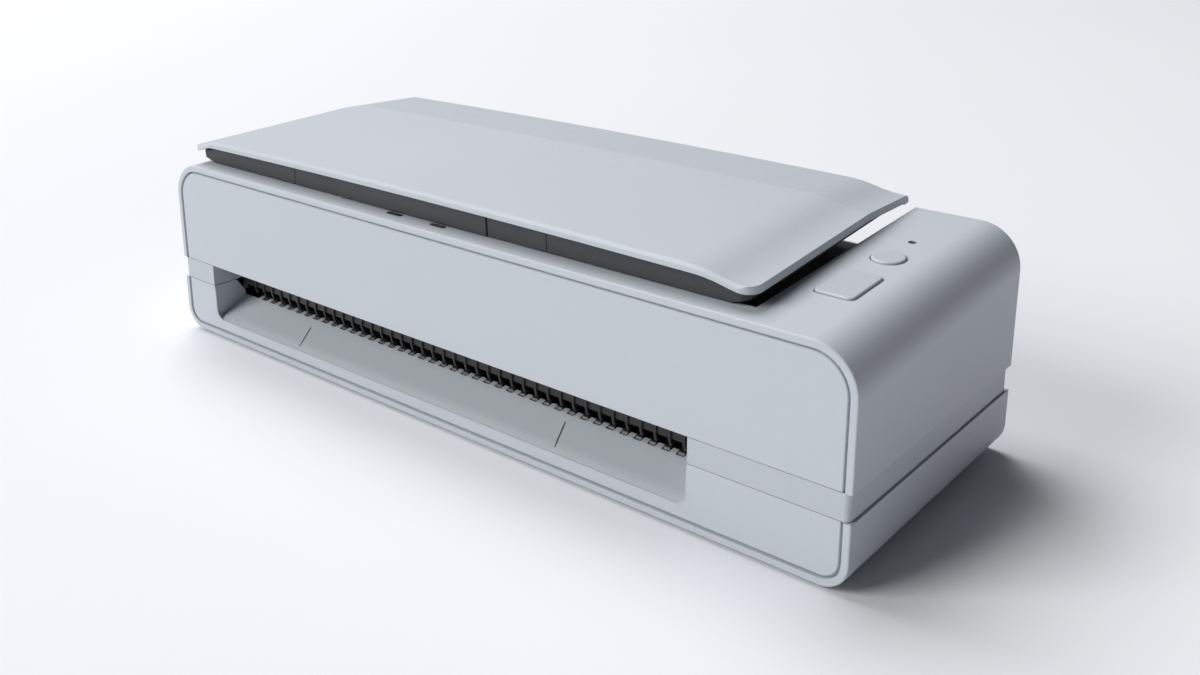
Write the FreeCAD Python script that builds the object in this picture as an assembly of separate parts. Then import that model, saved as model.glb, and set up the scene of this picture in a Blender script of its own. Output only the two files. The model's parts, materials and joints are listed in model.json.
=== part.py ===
"""Desktop sheet fed document scanner: one STEP file for each separate piece.

Millimetres. +X is the user's right, +Y the back, +Z up. The origin is the centre of the footprint on the table.
Sheets have two ways in. A stack stands in the open lid and is fed down a slot at the back of the well, past the
sensors and up out of the front of the well. A card or booklet goes in flat at the front slot and comes back.
"""
import math
import os

import FreeCAD
import Part

os.makedirs("parts", exist_ok=True)
V = FreeCAD.Vector

# ---- overall sizes ---------------------------------------------------------------------------------------------
width = 296.0            # both cases, side to side
depth = 105.0            # front face to the back of the lid
height = 83.0            # table to the crown of the lid
foot_height = 1.0        # how far the feet hold the case off the table
lid_back_overhang = 1.0  # lid stands out behind the cases

# ---- casings ---------------------------------------------------------------------------------------------------
wall = 2.2               # case wall, also the width of the rim seen round the front
top_radius = 13.5        # outer corners of the upper case
bottom_radius = 8.5      # outer corners of the lower case
edge_round = 0.5         # broken edges of the cases
lower_case_top = 21.6    # height of the lower case's upper edge
band_height = 8.3        # frame band that shows between the two cases
case_top = 68.8          # top of the upper case, at its front edge
case_rise = 6.2          # how much higher the top is at the back edge
band_inset = 0.7         # how far the band sits in from the cases
band_wall = 3.0
joint_gap = 0.15         # hairline between neighbouring mouldings
groove = 0.8             # groove between the rim and the panels set in it
panel_thick = 2.0
panel_set_back = 0.2     # front panels lie this far behind the rim

# ---- paper way -------------------------------------------------------------------------------------------------
feed_centre = -15.7      # middle of the paper way across the machine
slot_width = 225.6       # clear width of the front slot
slot_lip = 7.7           # height of the front edge of the entry ramp
ramp_depth = 14.0        # front face to the teeth of the ramp
ramp_top = 14.4          # height of the ramp at its teeth
paper_level = 16.0       # height of the flat paper way between the rollers
paper_gap = 1.0          # space over and under the paper way
rib_pitch = 5.3          # teeth of the ramp and ribs of the guides
rib_width = 0.9
tooth_length = 2.2
tooth_width = 2.4
knuckle_radius = 2.4      # rounded dark teeth between the pale ones
comb_drop = 2.4          # how far the ribs of the upper guide hang below its wall
comb_proud = 0.6
slot_wall = 1.8          # side walls of the entry ramp
guide_wall = 1.6

# ---- well and feed cover ---------------------------------------------------------------------------------------
well_left = -132.0
well_right = 112.5
well_front = -43.7
well_floor = 62.3        # top of the feed cover
well_wall = 1.8
cover_thick = 2.0
cover_back_drop = 3.0    # the cover is lower behind the inlet, where the lid swings
inlet_y = 34.0           # sheets go in here
inlet_width = 6.4
sheet_margin = 3.3       # the inlet and outlet are shorter than the slot by this at each end
sheet_way = slot_width - 2 * sheet_margin
ledge_width = 1.5        # ledge of the well that carries the feed cover
outlet_y = -36.0         # sheets come out here
outlet_width = 5.6

# ---- rollers and drive -----------------------------------------------------------------------------------------
frame_thick = 1.2
frame_left = -132.0      # inner face of the left side frame
frame_right = 102.0      # inner face of the right side frame
frame_floor_gap = 1.0
shaft_radius = 3.0
bush_radius = 4.5
bush_flange = 5.6
bush_flange_thick = 0.8
running_gap = 0.05       # radial clearance of a shaft in its bush
seat_gap = 0.02          # radial clearance of a bush in its frame
nip_gap = 0.3            # between a driven roller and its idler
drive_radius = 7.4
feed_y = 14.0
eject_y = -20.0
drive_z = paper_level + nip_gap / 2 + drive_radius
idler_radius = 5.5
idler_shaft_radius = 2.0
idler_z = paper_level - nip_gap / 2 - idler_radius
exit_radius = 6.0
exit_y = -29.9
exit_z = 49.5
exit_idler_radius = 4.0
pick_radius = 9.0
pick_y = 25.0
pick_z = 47.0
brake_radius = 6.0
brake_y = 40.2
brake_z = 45.0
roller_offsets = (-78.0, -26.0, 26.0, 78.0)   # roller centres, from the feed centre
roller_length = 16.0
pick_offsets = (-13.0, 13.0)
pick_length = 18.0

gear_module = 0.8
feed_gear_teeth = 36
motor_gear_teeth = 12
gear_width = 4.5
gear_backlash = 0.25     # taken off each tooth's thickness
motor_angle = 20.0       # from the feed shaft towards the back and up
motor_radius = 13.0
motor_length = 24.0
motor_shaft_radius = 1.5
bracket_gap = 12.0       # side frame to motor bracket
bracket_thick = 1.4
pulley_radius = 5.0
belt_thick = 1.1
belt_width = 3.0
belt_clear = 0.15

# ---- sensors ---------------------------------------------------------------------------------------------------
sensor_front = -11.0
sensor_back = 4.6
glass_length = 213.0
lower_sensor_height = 10.5
upper_sensor_height = 13.0
glass_thick = 0.8

# ---- lid: heights are above the upper case's top, square to it -----------------------------------
lid_left = -139.5
lid_right = 114.0
lid_taper = 0.045         # each end comes in by this much per millimetre towards the back
lid_front = -48.0
lid_skin = 1.8
lid_edge = 2.4            # height of the skin's turned edge
lid_front_rise = 10.4
lid_front_soft = 0.9      # softened upper front edge
lid_crease_y = 23.5       # the top falls away behind this line
lid_back_rise = 7.3
lid_bead = 2.0            # radius of the rounded bead along the back edge
lid_bow = 0.9             # rise of the top between the two ends
lid_left_run = 14.0       # length of the curved ends
lid_right_run = 22.0
lid_end_drop = 2.8        # how far the curved ends fall
lid_left_corner = 2.0     # front corners, seen from above
lid_right_corner = 5.0
tray_gap = 0.5
tray_left = -137.0
tray_right = 111.0
tray_front = -45.7
tray_back = 38.0
tray_wall = 1.6
tray_cut = (5.5, 1.4)     # lower front corners of the tray, along and up
tray_fit = 0.15           # between the tray and the skin over it
bumper_size = (5.0, 3.0)  # small rests under the tray's front corners
bumper_drop = 0.4
hinge_radius = 1.5
hinge_pin_radius = 0.8
hinge_rise = 3.3          # hinge line above the case's top
hinge_ear = 3.0
hinge_gap = 0.4
left_post_x = -119.0
right_post_x = 82.0
post_width = 3.6
post_neck = 3.2           # thickness of a post below its bend

# ---- chute extension -------------------------------------------------------------------------------------------
frame_slide_left = -80.8
frame_slide_right = 39.9
grip_left = -56.0
grip_right = 15.2
slide_gap = 0.3
slide_back = 12.0
slide_thick = 1.8
slide_front_wall = 2.0
grip_proud = 0.5

# ---- side guides -----------------------------------------------------------------------------------------------
guide_half = 109.0        # feed centre to each guide's face at rest
guide_fin = 4.0
guide_drop = 6.6          # depth of the fins under the tray
guide_front = -34.0
guide_back_left = 24.0
guide_back_right = 34.0
guide_travel = 80.0
rack_module = 1.0
pinion_teeth = 10
pinion_y = 24.0
rack_back = 3.4           # solid part of a rack behind its teeth
rack_thick = 2.0
rack_overrun = 12.0       # rack past the pinion at rest

# ---- operator panel --------------------------------------------------------------------------------------------
panel_x = 125.4
scan_y = -16.9
scan_size = (12.3, 18.9)
scan_corner = 2.0
power_y = 6.9
power_radius = 5.1
lamp_y = 22.5
lamp_radius = 1.2
button_gap = 0.35
button_proud = 0.7
stem_radius = 1.5
button_travel = 0.5
button_skirt = 5.0

# ---- things under and behind -----------------------------------------------------------------------------------
foot_x = 128.0
foot_y = 38.0
foot_radius = 6.0
screw_inset = 4.5        # screws stand this far from the side frames
screw_y = 28.0
screw_radius = 1.5
screw_head_radius = 2.8
screw_head_height = 2.0
boss_radius = 4.0
boss_top = 8.2
board_post_radius = 2.0
port_z = 12.0
dc_x = 134.0
dc_radius = 4.0
usb_x = 120.0
usb_size = (9.2, 3.4)
rear_slot_height = 5.0
board_top = 7.6
board_thick = 1.6

# ---- worked out from the sizes above ---------------------------------------------------------------------------
half = width / 2
front = -depth / 2
case_back = depth / 2 - lid_back_overhang
top_angle = math.degrees(math.atan2(case_rise, case_back - front))
tilt_cos = math.cos(math.radians(top_angle))
tilt_sin = math.sin(math.radians(top_angle))
tray_bottom = case_top + tray_gap
lid_front_top = case_top + lid_front_rise
lid_front_bottom = lid_front_top - lid_edge
lid_crown = case_top + (height - case_top - (lid_crease_y - front) * tilt_sin) / tilt_cos
hinge_level = case_top + hinge_rise
bead_level = case_top + lid_back_rise - lid_bead
end_fall = lid_bow + lid_end_drop
hinge_at = front + (depth - lid_bead + (lid_back_rise - lid_bead - end_fall) * tilt_sin) / tilt_cos
hinge_y = front + (hinge_at - front) * tilt_cos - (hinge_level - case_top) * tilt_sin
hinge_z = case_top + (hinge_at - front) * tilt_sin + (hinge_level - case_top) * tilt_cos
upper_case_bottom = lower_case_top + band_height
slot_left = feed_centre - slot_width / 2
slot_right = feed_centre + slot_width / 2
panel_front = front + panel_set_back
inner_half = half - wall
guide_low = paper_level - paper_gap
guide_high = paper_level + paper_gap
frame_outer_left = frame_left - frame_thick
frame_outer_right = frame_right + frame_thick
ramp_end = front + ramp_depth
rear_panel_back = case_back - panel_set_back
rear_panel_front = rear_panel_back - panel_thick
exit_idler_y = exit_y - exit_radius - exit_idler_radius - nip_gap
gear_left = frame_outer_right + 0.8
gear_right = gear_left + gear_width
belt_left_x = gear_right + 0.8
left_belt_x = frame_outer_left - bush_flange_thick - 0.6 - belt_width
screw_places = [(x, y) for x in (frame_left + screw_inset, frame_right + frame_thick + screw_inset)
                for y in (-screw_y, screw_y)]
board_left = frame_right + frame_thick + bracket_gap - 1
board_right = inner_half - 1.5
board_front = -34.0
panel_board_top = case_top - button_skirt - 4.0
guide_bottom = tray_bottom - guide_drop
switch_height = 2.2
centre_distance = gear_module * (feed_gear_teeth + motor_gear_teeth) / 2
motor_y = feed_y + centre_distance * math.cos(math.radians(motor_angle))
motor_z = drive_z + centre_distance * math.sin(math.radians(motor_angle))


# ---- small builders --------------------------------------------------------------------------------------------
def block(x0, x1, y0, y1, z0, z1):
    return Part.makeBox(x1 - x0, y1 - y0, z1 - z0, V(x0, y0, z0))


def rod_x(x0, x1, y, z, r):
    return Part.makeCylinder(r, x1 - x0, V(x0, y, z), V(1, 0, 0))


def rod_z(x, y, z0, z1, r):
    return Part.makeCylinder(r, z1 - z0, V(x, y, z0), V(0, 0, 1))


def prism(points, direction):
    """A flat outline of points, pushed along a vector."""
    wire = Part.makePolygon([*points, points[0]])
    return Part.Face(wire).extrude(direction)


def prism_yz(outline, x0, x1):
    return prism([V(x0, y, z) for y, z in outline], V(x1 - x0, 0, 0))


def prism_xz(outline, y0, y1):
    return prism([V(x, y0, z) for x, z in outline], V(0, y1 - y0, 0))


def rounded(solid, radius, chosen):
    """Fillets the edges for which chosen(edge) is true."""
    edges = [e for e in solid.Edges if chosen(e)]
    return solid.makeFillet(radius, edges) if edges and radius > 0 else solid


def along(edge, axis):
    """True for a straight edge that runs along axis x, y or z."""
    if not isinstance(edge.Curve, Part.Line):
        return False
    d = edge.tangentAt(edge.FirstParameter)
    return abs(getattr(d, axis)) > 0.999


def at(edge, **place):
    """True where the whole edge has the given x, y or z."""
    box = edge.BoundBox
    low = {"x": box.XMin, "y": box.YMin, "z": box.ZMin}
    high = {"x": box.XMax, "y": box.YMax, "z": box.ZMax}
    return all(abs(low[k] - v) < 1e-4 and abs(high[k] - v) < 1e-4 for k, v in place.items())


def fused(first, *others):
    return first.fuse(list(others)).removeSplitter() if others else first


def cut(first, *others):
    return first.cut(list(others))


def save(name, *solids):
    shape = solids[0] if len(solids) == 1 else Part.makeCompound(list(solids))
    found = shape.Solids
    shape = found[0] if len(found) == 1 else Part.makeCompound(found)
    if not found or not shape.isValid():
        print("CHECK", name, "solids", len(found), "valid", shape.isValid())
    shape.exportStep(f"parts/{name}.step")
    return shape


def tilted(solid):
    """Turns a piece made level with the case's front edge to lie along the sloping top."""
    turned = solid.copy()
    turned.rotate(V(0, front, case_top), V(1, 0, 0), top_angle)
    return turned


def top_at(y):
    return case_top + (y - front) * case_rise / (case_back - front)


def case_section(inset, y0, y1):
    """The outer shape of the two cases together, taken in by inset, from y0 to y1."""
    x, low, drop = half - inset, foot_height + inset, inset / tilt_cos
    body = prism_yz([(y0, low), (y1, low), (y1, top_at(y1) - drop), (y0, top_at(y0) - drop)], -x, x)

    def long_edge(e):
        return abs(abs(e.valueAt(e.FirstParameter).x) - x) < 1e-4 and e.BoundBox.YLength > 0.9 * (y1 - y0)

    body = rounded(body, top_radius - inset, lambda e: long_edge(e) and e.BoundBox.ZMin > low + 1)
    return rounded(body, bottom_radius - inset, lambda e: long_edge(e) and e.BoundBox.ZMax < low + 1e-4)


def gear_solid(teeth, module, x0, x1, y, z, bore, phase, thinner=gear_backlash):
    """A spur gear on an X axis. A tooth points at phase degrees, measured from +Y towards +Z."""
    pitch, tip, root = teeth * module / 2, teeth * module / 2 + module * 0.9, teeth * module / 2 - module * 1.2
    base = pitch * math.cos(math.radians(20))
    flank_from = max(base, root + 0.05)
    half_thick = math.pi / (2 * teeth) - thinner / (2 * pitch)

    def involute(r):
        a = math.acos(min(1.0, base / r))
        return math.tan(a) - a

    radii = [flank_from + (tip - flank_from) * i / 4 for i in range(5)]
    outline = []
    for tooth in range(teeth):
        middle = math.radians(phase) + 2 * math.pi * tooth / teeth
        spread = [half_thick + involute(pitch) - involute(r) for r in radii]
        rise = [(root, middle - half_thick - involute(pitch))]
        rise += [(r, middle - s) for r, s in zip(radii, spread)]
        fall = [(r, middle + s) for r, s in zip(reversed(radii), reversed(spread))]
        fall += [(root, middle + half_thick + involute(pitch))]
        outline += rise + fall
    wheel = prism_yz([(y + r * math.cos(a), z + r * math.sin(a)) for r, a in outline], x0, x1)
    return cut(wheel, rod_x(x0 - 1, x1 + 1, y, z, bore)) if bore else wheel


def belt_loop(x0, x1, a, b, inner, thick):
    """A flat belt round two equal pulleys whose centres are a and b in the YZ plane."""
    run = V(0, b[0] - a[0], b[1] - a[1])
    side = V(0, -run.z, run.y).normalize()
    length = run.Length

    def track(radius, xa, xb):
        bar = prism([V(xa, *p) for p in (
            (a[0] + side.y * radius, a[1] + side.z * radius), (b[0] + side.y * radius, b[1] + side.z * radius),
            (b[0] - side.y * radius, b[1] - side.z * radius), (a[0] - side.y * radius, a[1] - side.z * radius))],
            V(xb - xa, 0, 0))
        return fused(bar, rod_x(xa, xb, *a, radius), rod_x(xa, xb, *b, radius))

    assert length > 2 * inner
    return cut(track(inner + thick, x0, x1), track(inner, x0 - 1, x1 + 1))


def hollow_rod(x0, x1, y, z, r, bore):
    return cut(rod_x(x0, x1, y, z, r), rod_x(x0 - 1, x1 + 1, y, z, bore))


# ---- casings ---------------------------------------------------------------------------------------------------
shell = cut(case_section(0, front, case_back), case_section(wall, front - 1, case_back + 1))
far = half + 10


def lower_case():
    """Bottom and sides up to the band, one moulding open at the front and back, with screw bosses."""
    case = shell.common(block(-far, far, front - 1, case_back + 1, 0, lower_case_top))
    floor = foot_height + wall
    bosses = [rod_z(x, y, floor - 1, boss_top, boss_radius) for x, y in screw_places]
    posts = [rod_z(x, y, floor - 1, board_top - board_thick, board_post_radius)
             for x in (board_left + 4, board_right - 6) for y in (board_front + 4, rear_panel_front - 10)]
    case = fused(case, *bosses, *posts)
    holes = [rod_z(x, y, 0, boss_top + 1, screw_radius + 0.2) for x, y in screw_places]
    holes += [rod_z(x, y, 0, foot_height + 3.0, screw_head_radius + 0.4) for x, y in screw_places]
    seats = [rod_z(sx * foot_x, sy * foot_y, 0, foot_height + 0.8, foot_radius + 0.15)
             for sx in (-1, 1) for sy in (-1, 1)]
    case = cut(case, *holes, *seats)
    return rounded(case, edge_round, lambda e: at(e, y=front) and e.BoundBox.ZMax < lower_case_top + 1e-3
                   and outer_edge(e))


def outer_edge(edge):
    """True for an edge on the outside of the cases, at their front."""
    middle = edge.valueAt((edge.FirstParameter + edge.LastParameter) / 2)
    if min(abs(abs(middle.x) - half), abs(middle.z - foot_height), abs(middle.z - top_at(middle.y))) < 1e-3:
        return True
    return edge.Curve.TypeId == "Part::GeomCircle" and \
        min(abs(edge.Curve.Radius - r) for r in (top_radius, bottom_radius)) < 1e-3


def scan_button_outline(grow, z0, z1):
    w, d = scan_size[0] / 2 + grow, scan_size[1] / 2 + grow
    pad = block(panel_x - w, panel_x + w, scan_y - d, scan_y + d, z0, z1)
    return rounded(pad, scan_corner + grow, lambda e: along(e, "z"))


def upper_case():
    """Top and sides down to the band, with the well that the lid's tray lies over and the button holes."""
    high = height + 5
    case = shell.common(block(-far, far, front - 1, case_back + 1, upper_case_bottom, high))
    under = well_floor - cover_thick
    basin_floor = under - cover_back_drop - ledge_width
    space = block(well_left, well_right, well_front, case_back + 1, basin_floor - 1, high)
    walls = cut(block(well_left - well_wall, well_right + well_wall, well_front - well_wall, rear_panel_front,
                      basin_floor, high), space)
    ledges = []
    for x in (well_left, well_right - ledge_width):
        ledges.append(block(x, x + ledge_width, well_front, inlet_y - 2, under - ledge_width, under))
        ledges.append(block(x, x + ledge_width, inlet_y - 2, rear_panel_front,
                            basin_floor, under - cover_back_drop))
    posts = [tilted(rod_z(panel_x + side * 5.5, y, panel_board_top, case_top - wall / 2, board_post_radius * 0.8))
             for side in (-1, 1) for y in (power_y - power_radius - 3.9, lamp_y + 3.0)]
    low, top = case_top - wall - 1, case_top + 1
    holes = [scan_button_outline(button_gap, low, top),
             rod_z(panel_x, power_y, low, top, power_radius + button_gap),
             rod_z(panel_x, lamp_y, low, top, lamp_radius + 0.1)]
    case = cut(fused(case, walls.common(case_section(wall / 2, front, case_back)), *posts), space,
               *[tilted(hole) for hole in holes])
    case = fused(case, *ledges)
    return rounded(case, edge_round, lambda e: at(e, y=front) and outer_edge(e))


def band_section(inset, y0, y1, z0, z1):
    x = half - band_inset - inset
    ring = block(-x, x, y0 + inset, y1 - inset, z0, z1)
    return rounded(ring, max(1.8 - inset, 0.2), lambda e: along(e, "z"))


def slot_opening():
    """The space of the front slot, through the band and down to the ramp."""
    return block(slot_left, slot_right, front - 1, front + 8, 0, upper_case_bottom + joint_gap)


def rear_opening():
    return block(slot_left, slot_right, case_back - 8, case_back + 1,
                 paper_level - rear_slot_height / 2, paper_level + rear_slot_height / 2)


def mid_frame():
    """Frame that shows as the recessed band between the cases, with the upper sides of the front slot."""
    low, high = lower_case_top + joint_gap, upper_case_bottom - joint_gap
    inside = half - band_inset - band_wall
    ring = cut(band_section(0, panel_front, case_back - band_inset, low, high),
               band_section(band_wall, panel_front, case_back - band_inset, low - 1, high + 1),
               block(-inside - 0.1, inside + 0.1, rear_panel_front - 0.1, case_back, low - 1, high + 1))
    cheeks = [block(x, x + slot_wall, panel_front, ramp_end, low, high)
              for x in (slot_left - slot_wall, slot_right)]
    tongues = []
    for side in (-1, 1):
        x0, x1 = sorted((side * inside, side * (inner_half - 0.1)))
        tongues.append(block(x0, x1, panel_front + panel_thick + 0.3, rear_panel_front - 0.3, low - 2, high + 2))
    return cut(fused(ring, *cheeks, *tongues), slot_opening())


def front_panel():
    """Plain upper front, set in the rim of the upper case."""
    plate = case_section(wall + groove, panel_front, panel_front + panel_thick)
    plate = plate.common(block(-far, far, front - 1, case_back, upper_case_bottom, height + 5))
    ledge = cut(case_section(wall + 0.1, panel_front + 1.0, panel_front + panel_thick),
                case_section(wall + groove + 1.2, front, front + 10))
    ledge = ledge.common(block(-far, far, front - 1, case_back, upper_case_bottom, height + 5))
    plate = fused(plate, ledge)
    return rounded(plate, 0.35, lambda e: at(e, y=panel_front) and not at(e, z=upper_case_bottom))


def tooth_places():
    count = int((slot_width - 2 * rib_pitch) / rib_pitch)
    start = feed_centre - rib_pitch * (count - 1) / 2
    return [start + i * rib_pitch for i in range(count)]


def entry_ramp():
    """Lower front panel with the sloping ramp that guides a card in, its side walls and its row of teeth."""
    top = lower_case_top
    plate = case_section(wall + groove, panel_front, panel_front + panel_thick)
    plate = plate.common(block(-far, far, front - 1, case_back, 0, top))
    ledge = cut(case_section(wall + 0.1, panel_front + 1.0, panel_front + panel_thick),
                case_section(wall + groove + 1.2, front, front + 10))
    plate = fused(plate, ledge.common(block(-far, far, front - 1, case_back, 0, top)))
    plate = rounded(plate, 0.35, lambda e: at(e, y=panel_front) and not at(e, z=top))
    corner = 4.0
    mouth = block(slot_left, slot_right, front - 1, front + 4, slot_lip, top + 1)
    mouth = rounded(mouth, corner, lambda e: along(e, "y") and at(e, z=slot_lip))
    plate = cut(plate, mouth)
    back = ramp_end
    hump = [(panel_front, slot_lip - 2.2), (back, ramp_top - 2.0), (back, ramp_top), (panel_front, slot_lip)]
    ramp = prism_yz(hump, slot_left - slot_wall, slot_right + slot_wall)
    cheeks = [prism_yz([(panel_front + 0.4, slot_lip - 2.0), (back, ramp_top - 2.0), (back, ramp_top + 1.6),
                        (back - 4.0, top), (panel_front + 0.4, top)], x0, x0 + slot_wall)
              for x0 in (slot_left - slot_wall, slot_right)]
    slope = (ramp_top - slot_lip) / (back - panel_front)
    teeth = [prism_yz([(back - 0.1, ramp_top - 1.6), (back + tooth_length, ramp_top + slope * tooth_length - 2.2),
                       (back + tooth_length, ramp_top + slope * tooth_length - 0.6), (back - 0.1, ramp_top)],
                      x - tooth_width / 2, x + tooth_width / 2) for x in tooth_places()]
    return fused(plate, ramp, *cheeks, *teeth)


# ---- paper guides ----------------------------------------------------------------------------------------------


def guide_windows(y, radius, z0, z1):
    """Openings in a guide for a row of rollers."""
    return [block(feed_centre + o - roller_length / 2 - 1, feed_centre + o + roller_length / 2 + 1,
                  y - radius - 0.8, y + radius + 0.8, z0, z1) for o in roller_offsets]


def lower_guide():
    """Dark lower guide: rounded teeth between those of the ramp, then the flat floor of the paper way."""
    left, right = frame_left, frame_right
    back = sensor_front - 0.3
    flat_from = ramp_end + tooth_length + 0.5
    floor = prism_yz([(flat_from, guide_low - 4.6), (flat_from + 6, guide_low - guide_wall),
                      (back, guide_low - guide_wall), (back, guide_low), (flat_from + 4, guide_low),
                      (flat_from, guide_low - 1.0)], left, right)
    tooth_y, tooth_z = ramp_end + 0.35 + knuckle_radius, guide_low + 0.7 - knuckle_radius
    teeth = []
    for x in tooth_places()[:-1]:
        x0, x1 = x + (rib_pitch - tooth_width) / 2, x + (rib_pitch + tooth_width) / 2
        teeth.append(rod_x(x0, x1, tooth_y, tooth_z, knuckle_radius))
        teeth.append(prism_yz([(ramp_end + 0.35, ramp_top - 3.4), (flat_from + 0.2, guide_low - 4.4),
                               (tooth_y, tooth_z), (ramp_end + 0.35, tooth_z)], x0, x1))
    webs = block(left, right, flat_from - 0.1, flat_from + 1.4, guide_low - 7, guide_low - 4)
    guide = fused(floor, webs, *teeth)
    return cut(guide, *guide_windows(eject_y, idler_radius + 0.2, guide_low - 8, guide_low + 1))


def sheet_walls(y, width, z0, z1):
    """Two upright walls, width apart, that lead a sheet up or down at y."""
    x0, x1 = feed_centre - sheet_way / 2 - 1, feed_centre + sheet_way / 2 + 1
    return [block(x0, x1, y - width / 2 - 1.0, y - width / 2, z0, z1),
            block(x0, x1, y + width / 2, y + width / 2 + 1.0, z0, z1)]


def sheet_gap(y, width, z0, z1):
    return block(feed_centre - sheet_way / 2, feed_centre + sheet_way / 2, y - width / 2, y + width / 2, z0, z1)


def rear_plate(z0, z1):
    """Flat guide plate behind the sensors, held between the side frames."""
    return cut(block(frame_left, frame_right, sensor_back + 0.3, rear_panel_front - 0.3, z0, z1),
               *guide_windows(feed_y, drive_radius, z0 - 1, z1 + 1))


def rear_upper_guide():
    """Upper plate behind the sensors. Sheets come down to it between two walls below the inlet."""
    top = pick_z - pick_radius - 2
    plate = fused(rear_plate(guide_high, guide_high + guide_wall),
                  *sheet_walls(inlet_y, outlet_width, guide_high + guide_wall / 2, top))
    return cut(plate, sheet_gap(inlet_y, outlet_width, guide_high - 1, top + 1))


def upper_guide():
    """Dark upper guide: the ribbed back wall of the front slot. Sheets pass up behind it to the outlet."""
    left, right = slot_left + 0.3, slot_right - 0.3
    nose = panel_front + panel_thick + 0.3
    face = outlet_y - outlet_width / 2 - 1.0
    back = eject_y - drive_radius - 1.0
    roof, top = upper_case_bottom + 1.5, upper_case_bottom + 5.0
    wall_low = guide_high + 0.2 + comb_drop
    shelf = block(left, right, nose, face + 0.5, roof, roof + guide_wall)
    flange = block(left, right, nose, nose + guide_wall, roof, top)
    front_wall, rear_wall = sheet_walls(outlet_y, outlet_width,
                                        guide_high + guide_wall / 2, exit_z - exit_radius - 2)
    front_wall = cut(front_wall, block(left, right, face - 1, face + 2, 0, wall_low))
    rear = block(left, right, outlet_y + outlet_width / 2, back, guide_high, guide_high + guide_wall)
    strip = block(frame_left, frame_right, ramp_end + 6.2, back, guide_high, guide_high + guide_wall)
    ends = [block(x0, x1, face, back, guide_high + guide_wall / 2, top)
            for x0, x1 in ((left, feed_centre - sheet_way / 2), (feed_centre + sheet_way / 2, right))]
    rib = [(face - comb_proud, roof + 0.5), (face - comb_proud, wall_low), (face + 0.1, guide_high + 0.2),
           (face + 1.0, guide_high + 0.2), (face + 1.0, roof + 0.5)]
    ribs = [prism_yz(rib, x - rib_width / 2, x + rib_width / 2) for x in tooth_places()]
    return fused(shelf, flange, front_wall, rear_wall, rear, strip, *ends, *ribs)


def feed_cover():
    """Dark floor of the well, with the inlet at the back, the outlet at the front and ribs for the paper."""
    gap = 0.3
    left, right = well_left + gap, well_right - gap
    low = well_floor - cover_back_drop
    deck = block(left, right, well_front + gap, inlet_y, well_floor - cover_thick, well_floor)
    step = block(left, right, inlet_y - 0.1, rear_panel_front - gap, low - cover_thick, low)
    lip = block(left, right, inlet_y - 2, inlet_y + 0.5, low - cover_thick, well_floor - 0.2)
    inlet = sheet_gap(inlet_y, inlet_width, low - 4, well_floor + 1)
    outlet = sheet_gap(outlet_y, outlet_width, low - 4, well_floor + 1)
    ribs = [block(feed_centre + o - rib_width, feed_centre + o + rib_width, outlet_y + outlet_width / 2 + 2,
                  inlet_y - inlet_width / 2 - 4, well_floor - 0.2, well_floor + 0.9)
            for o in (-96, -72, -48, -24, 0, 24, 48, 72, 96)]
    posts = [hinge_post(left_post_x), hinge_post(right_post_x)]
    bores = [rod_x(x - 1, x + post_width + 1, hinge_y, hinge_z, hinge_pin_radius + seat_gap)
             for x in (left_post_x, right_post_x)]
    return cut(fused(deck, step, lip, *ribs, *posts), inlet, outlet, *bores)


def hinge_post(x):
    """Post on the feed cover that bends back to one hinge pin, under the lid's back edge."""
    base = well_floor - cover_back_drop - 1
    back = hinge_y - lid_bead - 2.3
    neck = back - post_neck
    post = prism_yz([(neck - 2, base), (back + 1.2, base), (back, base + 6), (back, hinge_z - hinge_radius),
                     (hinge_y, hinge_z - hinge_radius), (hinge_y, hinge_z + hinge_radius * 0.5),
                     (neck, hinge_z + hinge_radius * 0.5)], x, x + post_width)
    return fused(post, rod_x(x, x + post_width, hinge_y, hinge_z, hinge_radius))


# ---- back panel, ports, underside ------------------------------------------------------------------------------
def rear_panel():
    """Back panel set in the cases, lowered behind the well, with the rear slot, the ports and the air slots."""
    plate = case_section(wall + 0.2, rear_panel_front, rear_panel_back)
    notch = block(well_left, well_right, rear_panel_front - 1, case_back + 1,
                  well_floor - cover_back_drop - 0.5, height + 5)
    band = cut(block(-far, far, rear_panel_front - 1, case_back + 1, lower_case_top, upper_case_bottom),
               block(-half + band_inset + band_wall + 0.2, half - band_inset - band_wall - 0.2,
                     rear_panel_front - 2, case_back + 2, 0, height))
    vents = [block(x, x + 1.6, rear_panel_front - 1, case_back + 1, 36, 50)
             for x in (60 + 4.2 * i for i in range(9))]
    return cut(plate, notch, band, rear_opening(), *vents,
               rod_y(dc_x, port_z, rear_panel_front - 1, case_back + 1, dc_radius + 0.2),
               port_block(0.25, rear_panel_front - 1, case_back + 1))


def rod_y(x, z, y0, y1, r):
    return Part.makeCylinder(r, y1 - y0, V(x, y0, z), V(0, 1, 0))


def port_block(grow, y0, y1):
    w, h = usb_size[0] / 2 + grow, usb_size[1] / 2 + grow
    body = block(usb_x - w, usb_x + w, y0, y1, port_z - h, port_z + h)
    return rounded(body, h - 0.05, lambda e: along(e, "y"))


def dc_inlet():
    barrel = cut(rod_y(dc_x, port_z, rear_panel_front - 9, rear_panel_back - 0.2, dc_radius),
                 rod_y(dc_x, port_z, rear_panel_front - 6, case_back, dc_radius - 1.2))
    pin = rod_y(dc_x, port_z, rear_panel_front - 7, rear_panel_back - 1.0, 0.9)
    foot = block(dc_x - 4, dc_x + 4, rear_panel_front - 9, rear_panel_front - 1, board_top, port_z)
    foot = cut(foot, rod_y(dc_x, port_z, rear_panel_front - 6, case_back, dc_radius - 1.2))
    return fused(barrel, pin, foot)


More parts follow.
